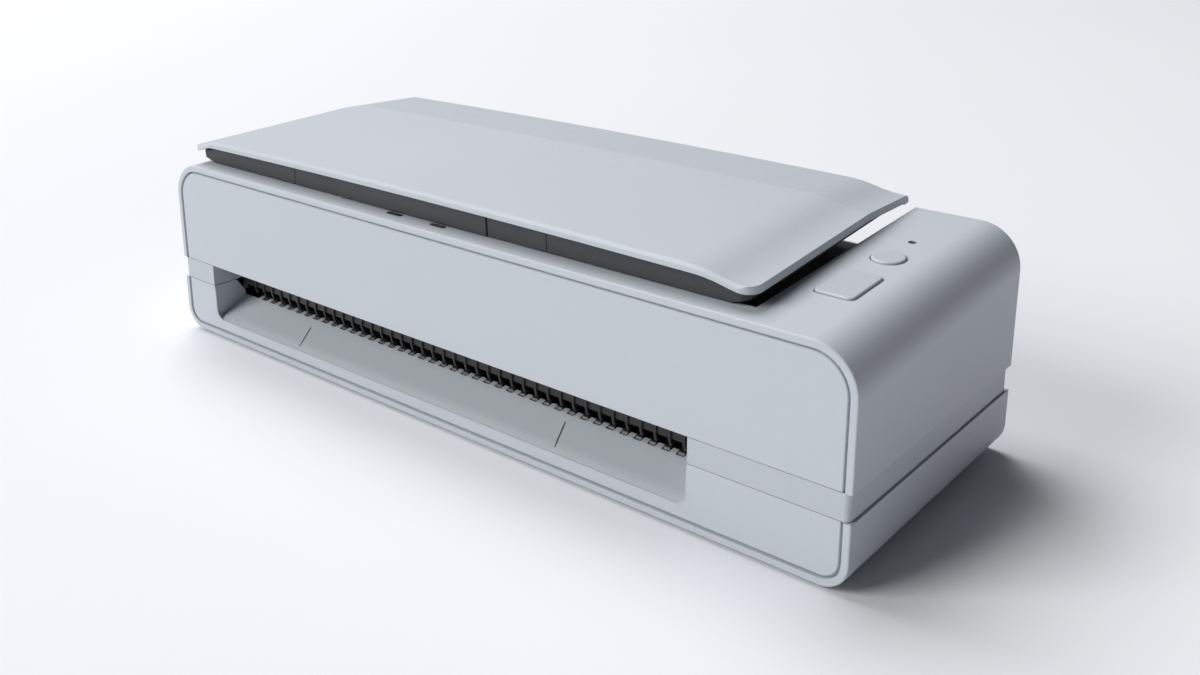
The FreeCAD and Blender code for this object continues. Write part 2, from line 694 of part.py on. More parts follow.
def usb_socket():
    body = port_block(0, rear_panel_front - 6, rear_panel_back - 0.2)
    hollow = port_block(-0.5, rear_panel_front - 5, case_back)
    tongue = block(usb_x - 3.2, usb_x + 3.2, rear_panel_front - 5.5, rear_panel_back - 0.9, port_z - 0.35,
                   port_z + 0.35)
    foot = block(usb_x - 4, usb_x + 4, rear_panel_front - 6, rear_panel_front - 1,
                 board_top, port_z - usb_size[1] / 2)
    return fused(cut(body, hollow), tongue, foot)


def feet():
    made = []
    for sx in (-1, 1):
        for sy in (-1, 1):
            foot = rod_z(sx * foot_x, sy * foot_y, 0, foot_height + 0.75, foot_radius)
            made.append(rounded(foot, 0.4, lambda e: at(e, z=0)))
    return made


def case_screws():
    made = []
    for x, y in screw_places:
        z = foot_height + 3.0 - screw_head_height
        head = rod_z(x, y, z, z + screw_head_height - 0.05, screw_head_radius)
        stem = rod_z(x, y, z, boss_top + 3, screw_radius)
        made.append(cut(fused(head, stem), block(x - 1.7, x + 1.7, y - 0.35, y + 0.35, z - 0.1, z + 0.9),
                        block(x - 0.35, x + 0.35, y - 1.7, y + 1.7, z - 0.1, z + 0.9)))
    return made


# ---- frames, shafts and rollers --------------------------------------------------------------------------------
driven = {"feed": (feed_y, drive_z), "eject": (eject_y, drive_z), "exit": (exit_y, exit_z), "pick": (pick_y, pick_z),
          "brake": (brake_y, brake_z)}
idlers = {"feed_idler": (feed_y, idler_z), "eject_idler": (eject_y, idler_z), "exit_idler": (exit_idler_y, exit_z)}


def side_frame(x0):
    """Steel plate that carries the shafts' bushes and the idlers, with two feet that the case screws hold."""
    base = foot_height + wall + frame_floor_gap
    plate = prism_yz([(-48, base), (47, base), (47, 52), (20, 54.6), (-46, 54.6), (-48, 34)], x0, x0 + frame_thick)
    mouth = prism_yz([(front, 0), (ramp_end + 6, 0), (ramp_end + 6, guide_high + 0.5), (-44, 31.0), (front, 31.0)],
                     x0 - 1, x0 + frame_thick + 1)
    places = screw_places[:2] if x0 < 0 else screw_places[2:]
    feet = [block(x0, x + 4, y - 4, y + 4, boss_top, boss_top + frame_thick) for x, y in places]
    holes = [rod_x(x0 - 1, x0 + frame_thick + 1, y, z, bush_radius) for y, z in driven.values()]
    holes += [rod_x(x0 - 1, x0 + frame_thick + 1, y, z, idler_shaft_radius + running_gap * 2)
              for y, z in idlers.values()]
    holes += [rod_z(x, y, boss_top - 1, boss_top + frame_thick + 1, screw_radius + seat_gap) for x, y in places]
    return cut(fused(plate, *feet), mouth, *holes)


def bushes():
    made = []
    for y, z in driven.values():
        for outer, way in ((frame_outer_left, -1), (frame_outer_right, 1)):
            inner = outer - way * frame_thick
            a, b = sorted((inner, outer + way * bush_flange_thick))
            body = rod_x(a, b, y, z, bush_radius - seat_gap)
            f0, f1 = sorted((outer + way * 0.02, outer + way * bush_flange_thick))
            flange = rod_x(f0, f1, y, z, bush_flange)
            made.append(cut(fused(body, flange), rod_x(a - 1, b + 1, y, z, shaft_radius + running_gap)))
    return made


def shaft(name, left, right):
    y, z = driven[name]
    return rod_x(left, right, y, z, shaft_radius)


def roller_row(centre, radius, bore, offsets, length):
    """Rubber rollers on a shaft, one solid each."""
    y, z = centre
    made = []
    for o in offsets:
        x = feed_centre + o
        tyre = hollow_rod(x - length / 2, x + length / 2, y, z, radius, bore)
        made.append(rounded(tyre, 0.5, lambda e: e.Curve.TypeId == "Part::GeomCircle"
                            and abs(e.Curve.Radius - radius) < 1e-3))
    return made


def idler(name, radius):
    y, z = idlers[name]
    core = rod_x(frame_left - frame_thick / 2, frame_right + frame_thick / 2, y, z, idler_shaft_radius)
    wheels = [rod_x(feed_centre + o - roller_length / 2 + 1, feed_centre + o + roller_length / 2 - 1, y, z, radius)
              for o in roller_offsets]
    return fused(core, *wheels)


def pulley(x0, centre):
    y, z = centre
    wheel = rod_x(x0, x0 + belt_width, y, z, pulley_radius)
    rims = [rod_x(x0 - 0.5, x0 - 0.1, y, z, pulley_radius + belt_thick + 0.5),
            rod_x(x0 + belt_width + 0.1, x0 + belt_width + 0.5, y, z, pulley_radius + belt_thick + 0.5)]
    hub = rod_x(x0 - 0.5, x0 + belt_width + 0.5, y, z, pulley_radius - 0.5)
    return cut(fused(wheel, hub, *rims), rod_x(x0 - 2, x0 + belt_width + 2, y, z, shaft_radius))


def motor():
    left = frame_outer_right + bracket_gap + bracket_thick + 0.1
    can = rod_x(left, left + motor_length, motor_y, motor_z, motor_radius)
    can = rounded(can, 1.0, lambda e: e.Curve.TypeId == "Part::GeomCircle")
    nose = rod_x(left - bracket_thick, left + 1, motor_y, motor_z, 4.0)
    return cut(fused(can, nose), rod_x(left - 3, left + motor_length - 3, motor_y, motor_z,
                                       motor_shaft_radius + running_gap))


def motor_bracket():
    left = frame_outer_right + bracket_gap
    plate = block(left, left + bracket_thick, motor_y - 16, motor_y + 13, motor_z - 15, motor_z + 15)
    legs = [block(frame_outer_right, left + 0.1, motor_y - 16, motor_y - 12.5, motor_z + 11.5, motor_z + 15),
            block(frame_outer_right, left + 0.1, motor_y + 9.5, motor_y + 13, motor_z - 15, motor_z - 11.5)]
    body = fused(plate, *legs)
    return cut(body, rod_x(left - 1, left + bracket_thick + 1, motor_y, motor_z, 4.1),
               rod_x(left - 1, left + bracket_thick + 1, feed_y, drive_z, shaft_radius + 0.6),
               *[rod_x(frame_outer_right - 1, frame_outer_right + bush_flange_thick + 0.1, y, z, bush_flange + 0.15)
                 for y, z in driven.values()])


def pinch_springs():
    """Leaf springs that press the lower idlers up, one at each end of each idler."""
    floor = foot_height + wall
    made = []
    for name in ("feed_idler", "eject_idler"):
        y, z = idlers[name]
        for x in (feed_centre - 52, feed_centre + 52):
            top = z - idler_shaft_radius - 0.1
            leaf = block(x - 3, x + 3, y - 7, y + 1, top - 0.5, top)
            leg = block(x - 3, x + 3, y - 7, y - 6.5, floor, top)
            made.append(fused(leaf, leg))
    return made


# ---- sensors and electronics -----------------------------------------------------------------------------------
def sensor(z0, z1, glass_side):
    """Contact image sensor: a long housing with a channel that its glass lies in."""
    x0, x1 = feed_centre - glass_length / 2, feed_centre + glass_length / 2
    body = block(frame_left, frame_right, sensor_front, sensor_back, z0, z1)
    g0, g1 = (z1 - glass_thick, z1 + 1) if glass_side > 0 else (z0 - 1, z0 + glass_thick)
    seat = block(x0, x1, sensor_front + 2.5, sensor_back - 2.5, g0, g1)
    slot_z = (z1 - 6, z1) if glass_side > 0 else (z0, z0 + 6)
    light_slot = block(x0 + 3, x1 - 3, sensor_front + 6, sensor_back - 6, *slot_z)
    return cut(body, seat, light_slot)


def sensor_glass(z0):
    x0, x1 = feed_centre - glass_length / 2, feed_centre + glass_length / 2
    return block(x0 + 0.05, x1 - 0.05, sensor_front + 2.55, sensor_back - 2.55, z0, z0 + glass_thick - 0.02)


def main_board():
    return block(board_left, board_right, board_front, rear_panel_front - 1, board_top - board_thick, board_top)


def board_parts():
    left = frame_outer_right + bracket_gap
    return [block(left + 4, left + 18, -26, -12, board_top, board_top + 1.6),
            block(left + 4, left + 13, -6, 3, board_top, board_top + 1.2),
            block(left + 20, left + 28, -30, -24, board_top, board_top + 5),
            rod_z(left + 24, -14, board_top, board_top + 8, 3.0), rod_z(left + 24, -6, board_top, board_top + 8, 3.0)]


def panel_board():
    z = panel_board_top
    board = block(panel_x - 9, panel_x + 9, scan_y - 12, lamp_y + 5, z - board_thick, z)
    switches = [block(panel_x - 3, panel_x + 3, y - 3, y + 3, z - 0.1, z + switch_height)
                for y in (scan_y, power_y)]
    return tilted(fused(board, *switches))


def check_lamp():
    return tilted(rod_z(panel_x, lamp_y, panel_board_top, case_top - 0.3, lamp_radius))


# ---- buttons ---------------------------------------------------------------------------------------------------
button_floor = case_top - wall - 0.2
stem_bottom = panel_board_top + switch_height + button_travel + 0.2


def scan_button():
    top = case_top + button_proud
    cap = scan_button_outline(0, button_floor - 1.0, top)
    cap = rounded(cap, 0.6, lambda e: at(e, z=top))
    flange = scan_button_outline(button_gap + 0.8, button_floor - 1.0, button_floor)
    stem = rod_z(panel_x, scan_y, stem_bottom, button_floor, stem_radius)
    return tilted(fused(cap, flange, stem))


def power_button():
    top = case_top + button_proud
    cap = rod_z(panel_x, power_y, button_floor - 1.0, top, power_radius)
    cap = rounded(cap, 0.6, lambda e: at(e, z=top))
    flange = rod_z(panel_x, power_y, button_floor - 1.0, button_floor, power_radius + button_gap + 0.8)
    stem = rod_z(panel_x, power_y, stem_bottom, button_floor, stem_radius)
    return tilted(fused(cap, flange, stem))


# ---- lid -------------------------------------------------------------------------------------------------------
def end_curve(x0, z0, x1, z1):
    """Two arcs that lead level out of one point and level into the other."""
    quarter, drop = (x1 - x0) / 4, (z1 - z0) / 8
    middle = V((x0 + x1) / 2, 0, (z0 + z1) / 2)
    return [Part.Arc(V(x0, 0, z0), V(x0 + quarter, 0, z0 + drop), middle).toShape(),
            Part.Arc(middle, V(x1 - quarter, 0, z1 - drop), V(x1, 0, z1)).toShape()]


def lid_station(y, top, low, grow):
    """Outline of the lid across the machine at y. The top bows up and its ends curve down."""
    left = lid_left - grow + lid_taper * (y - lid_front)
    right = lid_right + grow - lid_taper * (y - lid_front)
    a, b, shoulder, end = left + lid_left_run, right - lid_right_run, top - lid_bow, top - end_fall
    bow = Part.Arc(V(a, 0, shoulder), V((a + b) / 2, 0, top), V(b, 0, shoulder)).toShape()
    edges = [Part.makeLine(V(left, 0, low), V(left, 0, end)), *end_curve(left, end, a, shoulder), bow,
             *end_curve(b, shoulder, right, end), Part.makeLine(V(right, 0, end), V(right, 0, low)),
             Part.makeLine(V(right, 0, low), V(left, 0, low))]
    outline = Part.Wire(edges)
    outline.translate(V(0, y, 0))
    return outline


def lid_form(lower, grow, y0):
    """A solid that fills the space under the lid's top, lowered by lower and wider by grow, from y0 back."""
    low = case_top - 20
    stations = [(y0, lid_front_top - lower), (lid_crease_y, lid_crown - lower),
                (hinge_at, case_top + lid_back_rise - lower)]
    if lower == 0:
        stations[:1] = [(y0, lid_front_top - lid_front_soft), (y0 + lid_front_soft, lid_front_top)]
    return Part.makeLoft([lid_station(y, top, low, grow) for y, top in stations], True, True)


def lid_bead_form():
    """The rounded back edge, which falls with the ends of the lid."""
    halves = []
    for side in (1, -1):
        wires = []
        for t in (90, 70, 50, 30, 10):
            y = hinge_at + lid_bead * math.cos(math.radians(t))
            z = bead_level + side * lid_bead * math.sin(math.radians(t))
            wires.append(lid_station(y, z, case_top - 20, 0))
        halves.append(Part.makeLoft(wires, True, True))
    return cut(halves[0], halves[1])


def lid_plan(grow, y0, left_corner, right_corner):
    """The lid seen from above, with its two rounded front corners."""
    back = hinge_at + 10
    inwards = lid_taper * (back - lid_front)
    plan = prism([V(lid_left - grow, y0, 0), V(lid_right + grow, y0, 0), V(lid_right + grow - inwards, back, 0),
                  V(lid_left - grow + inwards, back, 0)], V(0, 0, height + 20))
    plan = rounded(plan, left_corner, lambda e: along(e, "z") and at(e, y=y0) and e.BoundBox.XMax < 0)
    return rounded(plan, right_corner, lambda e: along(e, "z") and at(e, y=y0) and e.BoundBox.XMin > 0)


def lid_cover():
    """Pale outer skin of the lid, with curved ends and a rounded back edge."""
    outer = fused(lid_form(0, 0, lid_front), lid_bead_form())
    outer = outer.common(lid_plan(0, lid_front, lid_left_corner, lid_right_corner))
    inner_front = lid_front + lid_skin
    inner = lid_form(lid_skin, -lid_skin, inner_front)
    inner = inner.common(lid_plan(-lid_skin, inner_front, lid_left_corner / 4, lid_right_corner - lid_skin))
    inner = inner.common(block(-far, far, inner_front - 1, hinge_at - 1.2, 0, height + 10))
    under = lid_form(lid_edge, 2, lid_front - 1).common(block(-far, far, lid_front - 2, hinge_at - 1.2, 0, height))
    lower = block(-far, far, lid_front - 2, hinge_at + 10, 0, case_top + 0.9)
    left_ear, right_ear = left_post_x + post_width + hinge_gap, right_post_x - hinge_gap - hinge_ear
    notches = [block(x0 - hinge_gap, x1 + hinge_gap, hinge_at - 8, hinge_at + 10,
                     0, hinge_level + hinge_radius + 0.3)
               for x0, x1 in ((left_post_x, left_ear + hinge_ear), (right_ear, right_post_x + post_width))]
    return tilted(cut(outer, inner, under, lower, *notches))


def tray_outline(inset):
    """Front outline of the tray, raised at the lower corners."""
    along_x, up = tray_cut
    left, right, low, high = tray_left + inset, tray_right - inset, tray_bottom + inset, lid_front_top
    return [(left + along_x, low), (right - along_x, low), (right, low + up), (right, high), (left, high),
            (left, low + up)]


def guide_slots():
    """Slots across the tray's floor that the stems of the two side guides run in."""
    left_from = feed_centre - guide_half - guide_fin - 0.5
    right_to = feed_centre + guide_half + guide_fin + 0.5
    reach = guide_travel + guide_fin + 1.0
    ly, ry = rack_stem_y()
    return (block(left_from, left_from + reach, ly - 1.3, ly + 1.3, 0, tray_bottom + tray_wall + 0.1),
            block(right_to - reach, right_to, ry - 1.3, ry + 1.3, 0, tray_bottom + tray_wall + 0.1))


def rack_stem_y():
    pitch = rack_module * pinion_teeth / 2
    reach = pitch + rack_module * 1.2 + rack_back / 2
    return pinion_y - reach, pinion_y + reach


def lid_tray():
    """Dark tray under the skin. Opened, its underside is the chute that the stack leans on."""
    solid = prism_xz(tray_outline(0), tray_front, tray_back)
    hollow = prism_xz([(x, z + (20 if z > lid_front_bottom else 0)) for x, z in tray_outline(tray_wall)],
                      tray_front + tray_wall, tray_back - tray_wall)
    under_skin = lid_form(lid_skin + tray_fit, -lid_skin - tray_fit, lid_front + lid_skin + tray_fit)
    sides = lid_form(0, -lid_skin - tray_fit - tray_wall, tray_front + tray_wall)
    hollow = hollow.common(sides)
    front_edge = block(tray_left - 1, tray_right + 1, tray_front - 1, tray_front + tray_wall + 0.1,
                       lid_front_bottom - tray_fit, height)
    plan = lid_plan(-lid_skin - tray_fit, lid_front + lid_skin + tray_fit, lid_left_corner, lid_right_corner)
    tray = cut(solid, hollow, front_edge).common(under_skin).common(plan)
    bay = block(frame_slide_left - slide_gap, frame_slide_right + slide_gap, tray_front - 1,
                tray_front + slide_front_wall + 0.6, 0, height + 5)
    rails = [block(x, x + 1.4, tray_front + 3, slide_back + 1, tray_bottom + tray_wall - 0.1,
                   tray_bottom + tray_wall + 2.6)
             for x in (frame_slide_left - slide_gap - 1.4, frame_slide_right + slide_gap)]
    spigot = rod_z(feed_centre, pinion_y, tray_bottom + 0.5, tray_bottom + tray_wall + rack_thick + 1.0, 1.5)
    bumpers = [block(x, x + bumper_size[0], tray_front + 0.6, tray_front + 0.6 + bumper_size[1],
                     tray_bottom - bumper_drop, tray_bottom + 0.2)
               for x in (tray_left + tray_cut[0], tray_right - tray_cut[0] - bumper_size[0])]
    ears, bores = [], []
    for x in (left_post_x + post_width + hinge_gap, right_post_x - hinge_gap - hinge_ear):
        arm = prism_yz([(tray_back - tray_wall, tray_bottom), (tray_back + 2, tray_bottom),
                        (hinge_at, hinge_level - hinge_radius), (hinge_at, hinge_level + hinge_radius * 0.6),
                        (tray_back - tray_wall, hinge_level + hinge_radius * 0.6)], x, x + hinge_ear)
        ears.append(fused(arm, rod_x(x, x + hinge_ear, hinge_at, hinge_level, hinge_radius)))
        bores.append(rod_x(x - 0.5, x + hinge_ear + 0.5, hinge_at, hinge_level, hinge_pin_radius + running_gap))
    tray = fused(cut(tray, bay), *rails, spigot, *bumpers, *ears)
    return tilted(cut(tray, *bores, *guide_slots()))


def hinge_pins():
    left = rod_x(left_post_x, left_post_x + post_width + hinge_gap + hinge_ear, hinge_y, hinge_z, hinge_pin_radius)
    right = rod_x(right_post_x - hinge_gap - hinge_ear, right_post_x + post_width,
                  hinge_y, hinge_z, hinge_pin_radius)
    return [left, right]


def extension_frame():
    """First stage of the chute extension: a plate with a front wall that has a bay for the grip."""
    floor = tray_bottom + tray_wall + 0.2
    top = lid_front_bottom - 0.15
    plate = block(frame_slide_left, frame_slide_right, tray_front + 0.3, slide_back, floor, floor + slide_thick)
    plate = cut(plate, block(grip_left + 6, grip_right - 6, tray_front + 12, slide_back - 8, 0, height))
    face = block(frame_slide_left, frame_slide_right, tray_front, tray_front + slide_front_wall, tray_bottom, top)
    rails = [block(x, x + 1.2, tray_front + 3, slide_back, floor + slide_thick - 0.1, floor + slide_thick + 2.0)
             for x in (grip_left - slide_gap - 1.2, grip_right + slide_gap)]
    body = fused(plate, face, *rails)
    bay = block(grip_left - slide_gap, grip_right + slide_gap, tray_front - 1, tray_front + slide_front_wall + 0.6,
                tray_bottom - 1, height)
    return tilted(cut(body, bay))


def extension_grip():
    """Second stage, whose front wall is the grip that is pulled."""
    floor = tray_bottom + tray_wall + slide_thick + 0.4
    top = lid_front_bottom - 0.15
    plate = block(grip_left, grip_right, tray_front + 0.3, slide_back - 3, floor, floor + slide_thick)
    face = block(grip_left, grip_right, tray_front - grip_proud, tray_front + slide_front_wall,
                 tray_bottom - 0.1, top)
    face = rounded(face, 0.5, lambda e: e.BoundBox.YMax < tray_front - grip_proud + 1e-3)
    return tilted(fused(plate, face))


def rack_arm(x0, x1, stem_y, side):
    """Toothed bar above the tray's floor. Its teeth face the pinion, on the side given by side."""
    z0 = tray_bottom + tray_wall + 0.25
    pitch = math.pi * rack_module
    face = stem_y + side * rack_back / 2
    bar = block(x0, x1, min(stem_y - rack_back / 2, stem_y + rack_back / 2),
                max(stem_y - rack_back / 2, stem_y + rack_back / 2), z0, z0 + rack_thick)
    tip, root = face + side * rack_module * 2.0, face
    thin = 0.35
    half_root = pitch / 4 - thin / 2 + math.tan(math.radians(20)) * rack_module * 1.2
    half_tip = pitch / 4 - thin / 2 - math.tan(math.radians(20)) * rack_module * 0.8
    teeth = []
    first = math.ceil((x0 + 1.5 - feed_centre) / pitch)
    last = math.floor((x1 - 1.5 - feed_centre) / pitch)
    for i in range(first, last + 1):
        x = feed_centre + i * pitch + pitch / 2
        teeth.append(prism([V(x - half_root, root - side * 0.1, z0), V(x + half_root, root - side * 0.1, z0),
                            V(x + half_tip, tip, z0), V(x - half_tip, tip, z0)], V(0, 0, rack_thick)))
    return fused(bar, *teeth)


def side_guide(side):
    """One side guide: a fin under the tray, a stem through the tray's floor and a rack above it."""
    face = feed_centre + side * guide_half
    outer = face + side * guide_fin
    x0, x1 = sorted((face, outer))
    back = guide_back_left if side < 0 else guide_back_right
    fin = block(x0, x1, guide_front, back, guide_bottom, tray_bottom - 0.2)
    fin = rounded(fin, 1.2, lambda e: along(e, "z") or (along(e, "y") and e.BoundBox.ZMax < guide_bottom + 1e-3))
    ly, ry = rack_stem_y()
    stem_y = ly if side < 0 else ry
    stem = block(x0 + 0.5, x1 - 0.5, stem_y - 1.0, stem_y + 1.0, tray_bottom - 0.4, tray_bottom + tray_wall + 1.0)
    reach = feed_centre - side * rack_overrun
    r0, r1 = sorted((outer - side * 0.5, reach))
    return tilted(fused(fin, stem, rack_arm(r0, r1, stem_y, -side)))


def guide_pinion():
    """Small gear between the two racks, on an upright spigot."""
    z0 = tray_bottom + tray_wall + 0.25
    flat = gear_solid(pinion_teeth, rack_module, 0, rack_thick, 0, 0, 0, 0, 0.35)
    flat.rotate(V(0, 0, 0), V(0, 1, 0), -90)
    flat.translate(V(feed_centre, pinion_y, z0))
    return tilted(cut(flat, rod_z(feed_centre, pinion_y, z0 - 1, z0 + rack_thick + 1, 1.5 + running_gap)))


# ---- every piece, written out ----------------------------------------------------------------------------------
def build():
    save("lower_case", lower_case())
    save("upper_case", upper_case())
    save("mid_frame", mid_frame())
    save("front_panel", front_panel())
    save("entry_ramp", entry_ramp())
    save("lower_paper_guide", lower_guide())
    save("upper_paper_guide", upper_guide())
    save("rear_lower_guide", rear_plate(guide_low - guide_wall, guide_low))
    save("rear_upper_guide", rear_upper_guide())
    save("feed_cover", feed_cover())
    save("rear_panel", rear_panel())
    save("dc_inlet", dc_inlet())
    save("usb_socket", usb_socket())
    save("rubber_feet", *feet())
    save("case_screws", *case_screws())
    save("side_frame_left", side_frame(frame_outer_left))
    save("side_frame_right", side_frame(frame_right))
    save("shaft_bushes", *bushes())
    left_end, right_end = left_belt_x - 0.6, belt_left_x + belt_width + 0.8
    plain_left = frame_outer_left - bush_flange_thick - 0.4
    plain_right = frame_outer_right + bush_flange_thick + 0.4
    save("feed_shaft", shaft("feed", left_end, right_end))
    save("eject_shaft", shaft("eject", left_end, right_end))
    save("exit_shaft", shaft("exit", left_end, plain_right))
    save("pick_shaft", shaft("pick", left_end, plain_right))
    save("brake_shaft", shaft("brake", plain_left, plain_right))
    save("feed_rollers", *roller_row(driven["feed"], drive_radius, shaft_radius, roller_offsets, roller_length))
    save("eject_rollers", *roller_row(driven["eject"], drive_radius, shaft_radius, roller_offsets, roller_length))
    save("exit_rollers", *roller_row(driven["exit"], exit_radius, shaft_radius, roller_offsets, roller_length))
    save("pick_rollers", *roller_row(driven["pick"], pick_radius, shaft_radius, pick_offsets, pick_length))
    save("brake_rollers", *roller_row(driven["brake"], brake_radius, shaft_radius, pick_offsets, pick_length))
    save("feed_idler", idler("feed_idler", idler_radius))
    save("eject_idler", idler("eject_idler", idler_radius))
    save("exit_idler", idler("exit_idler", exit_idler_radius))
    save("feed_gear", gear_solid(feed_gear_teeth, gear_module, gear_left, gear_right, feed_y, drive_z, shaft_radius,
                                 motor_angle))
    save("motor_pinion", fused(gear_solid(motor_gear_teeth, gear_module, gear_left, gear_right, motor_y, motor_z, 0,
                                          motor_angle + 180 + 180 / motor_gear_teeth),
                               rod_x(gear_left, frame_outer_right + bracket_gap + motor_length - 3, motor_y, motor_z,
                                     motor_shaft_radius)))
    save("feed_pulleys", pulley(belt_left_x, driven["feed"]), pulley(left_belt_x, driven["feed"]))
    save("eject_pulleys", pulley(belt_left_x, driven["eject"]), pulley(left_belt_x, driven["eject"]))
    save("exit_pulley", pulley(left_belt_x, driven["exit"]))
    save("pick_pulley", pulley(left_belt_x, driven["pick"]))
    inner = pulley_radius + belt_clear
    for name, left, a, b in (("feed_belt", belt_left_x, "feed", "eject"),
                             ("pick_belt", left_belt_x, "feed", "pick"),
                             ("exit_belt", left_belt_x, "eject", "exit")):
        save(name, belt_loop(left, left + belt_width, driven[a], driven[b], inner, belt_thick))
    save("motor", motor())
    save("motor_bracket", motor_bracket())
    save("pinch_springs", *pinch_springs())
    save("lower_sensor", sensor(guide_low - lower_sensor_height, guide_low, 1))
    save("upper_sensor", sensor(guide_high, guide_high + upper_sensor_height, -1))
    save("sensor_glasses", sensor_glass(guide_low - glass_thick), sensor_glass(guide_high + 0.02))
    save("main_board", main_board())
    save("board_parts", *board_parts())
    save("panel_board", panel_board())
    save("check_lamp", check_lamp())
    save("scan_button", scan_button())
    save("power_button", power_button())
    save("lid_cover", lid_cover())
    save("lid_tray", lid_tray())
    save("hinge_pins", *hinge_pins())
    save("extension_frame", extension_frame())
    save("extension_grip", extension_grip())
    save("side_guide_left", side_guide(-1))
    save("side_guide_right", side_guide(1))
    save("guide_pinion", guide_pinion())


build()
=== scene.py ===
# %% [markdown]
# # A sheet fed document scanner
# The scanner is a low, wide box: two pale cases with a recessed band between them, a slot across the front
# with a sloping ramp and a dark comb of teeth, and a lid that folds open into the chute that holds the
# sheets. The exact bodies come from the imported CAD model, which is loaded first and never moved. This
# lesson gives each body its finish, adds the thin detail that the CAD leaves out, and lights the whole like
# a plain product table.

# %% Load the fixed frame
import bpy, bmesh, json, math
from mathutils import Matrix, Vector


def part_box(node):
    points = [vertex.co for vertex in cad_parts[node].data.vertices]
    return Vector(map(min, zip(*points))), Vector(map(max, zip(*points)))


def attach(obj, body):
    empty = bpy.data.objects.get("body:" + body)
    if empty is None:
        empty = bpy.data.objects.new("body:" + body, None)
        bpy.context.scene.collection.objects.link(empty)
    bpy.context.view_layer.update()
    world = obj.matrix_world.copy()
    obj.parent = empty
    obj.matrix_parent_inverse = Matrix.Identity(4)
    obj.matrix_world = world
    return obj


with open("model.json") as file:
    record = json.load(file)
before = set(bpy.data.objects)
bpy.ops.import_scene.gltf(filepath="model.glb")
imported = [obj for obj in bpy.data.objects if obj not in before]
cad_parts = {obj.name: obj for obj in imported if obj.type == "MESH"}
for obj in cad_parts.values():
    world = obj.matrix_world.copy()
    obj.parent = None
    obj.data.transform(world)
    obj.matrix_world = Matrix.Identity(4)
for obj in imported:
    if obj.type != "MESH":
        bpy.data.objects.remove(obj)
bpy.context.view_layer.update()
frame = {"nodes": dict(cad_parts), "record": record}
nodes = frame["nodes"]
slot_of = {part["node"]: part["material_slot"] for part in frame["record"]["subparts"]}

# %% [markdown]
# ## Shader sums written as Python
# A procedural finish is mostly small sums: a mask times a tone, one minus a mask. Wiring each Math node by
# hand hides the idea, so this class wraps a socket and turns +, - and * into Math nodes. The second class
# is one finish: it makes any other node from its type, its settings and its inputs.

# %% Sockets that can be added and multiplied
class Wire:
    def __init__(self, finish, socket):
        self.finish, self.socket = finish, socket

    def sum_of(self, operation, a, b):
        return self.finish.node("ShaderNodeMath", {"operation": operation}, {0: a, 1: b})

    def __add__(self, other):
        return self.sum_of("ADD", self, other)

    def __radd__(self, other):
        return self.sum_of("ADD", other, self)

    def __sub__(self, other):
        return self.sum_of("SUBTRACT", self, other)

    def __rsub__(self, other):
        return self.sum_of("SUBTRACT", other, self)

    def __mul__(self, other):
        return self.sum_of("MULTIPLY", self, other)

    def __rmul__(self, other):
        return self.sum_of("MULTIPLY", other, self)

    def limited(self):
        return self.finish.node("ShaderNodeClamp", {}, {"Value": self})

# %% One finish and its nodes
class Finish:
    def __init__(self, name):
        self.material = bpy.data.materials.new(name)
        self.material.use_nodes = True
        self.tree = self.material.node_tree
        self.shader = self.tree.nodes["Principled BSDF"]

    def node(self, kind, settings, inputs, out=0):
        made = self.tree.nodes.new(kind)
        for name, value in settings.items():
            setattr(made, name, value)
        for key, value in inputs.items():
            self.feed(made.inputs[key], value)
        return Wire(self, made.outputs[out])

    def feed(self, socket, value):
        if isinstance(value, Wire):
            self.tree.links.new(value.socket, socket)
        else:
            socket.default_value = value

    def wear(self, **sockets):
        for name, value in sockets.items():
            self.feed(self.shader.inputs[name.replace("_", " ")], value)
        return self.material

    def place(self, stretch=(1, 1, 1)):
        spot = self.node("ShaderNodeTexCoord", {}, {}, "Object")
        return self.node("ShaderNodeVectorMath", {"operation": "MULTIPLY"}, {0: spot, 1: stretch})

    def noise(self, scale, detail=2.0, stretch=(1, 1, 1)):
        return self.node("ShaderNodeTexNoise", {},
                         {"Vector": self.place(stretch), "Scale": scale, "Detail": detail})

    def tone(self, mask, dark, light):
        made = self.node("ShaderNodeMix", {"data_type": "RGBA"}, {"Factor": mask}, 2)
        node = made.socket.node
        self.feed(node.inputs[6], dark if isinstance(dark, Wire) else (*dark, 1))
        self.feed(node.inputs[7], light if isinstance(light, Wire) else (*light, 1))
        return made

# %% [markdown]
# ## Moulded plastic
# Almost every outer piece is injection moulded with a fine spark-eroded texture: many tiny rounded grains
# that scatter the highlight. Painting grains as colour would look printed, so they go in the bump. The
# colour only drifts a little over a hand's width, and the edges, where fingers polish the grain, are a
# touch lighter and smoother. The edge mask compares the true surface direction with one averaged over a
# small radius: the two differ only near an edge.

# %% The edge mask and the softened surface
def soft_edges(finish, radius):
    soft = finish.node("ShaderNodeBevel", {"samples": 4}, {"Radius": radius})
    true = finish.node("ShaderNodeNewGeometry", {}, {}, "Normal")
    same = finish.node("ShaderNodeVectorMath", {"operation": "DOT_PRODUCT"}, {0: soft, 1: true}, "Value")
    return soft, ((1 - same) * 6).limited()

# %% Moulded plastic, from a few numbers
grain_depth, polish_depth = 0.0002, 0.0001

